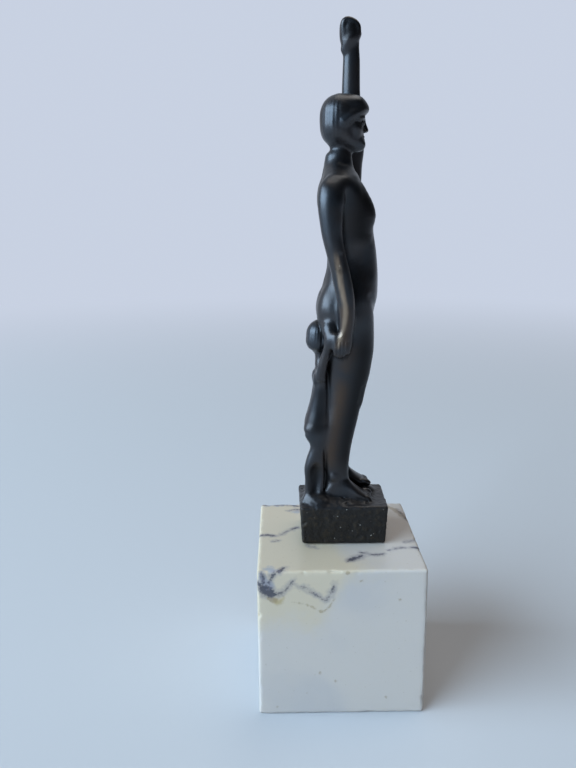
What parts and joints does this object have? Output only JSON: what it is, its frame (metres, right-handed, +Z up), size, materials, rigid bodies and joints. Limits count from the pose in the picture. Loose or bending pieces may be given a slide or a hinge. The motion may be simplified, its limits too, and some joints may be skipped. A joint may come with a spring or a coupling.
{
  "type": "mother and child statue",
  "caption": "Small bronze of a standing mother with one arm raised and a child at her back, on a low cast plinth and a block of veined marble.",
  "frame": {"origin": "middle of the marble block's underside", "axes": "+Z up, the statue's front towards -Y, her raised left arm towards +X"},
  "size_m": [0.06, 0.06, 0.2432],
  "materials": {
    "bronze": "cast bronze with a near-black brown patina, glossy on the figures, rough on the plinth, rubbed to a golden brown on the forearm and thigh",
    "marble": null
  },
  "bodies": {
    "root": {"bronze_group": "bronze", "marble_block": "marble"}
  },
  "joints": []
}
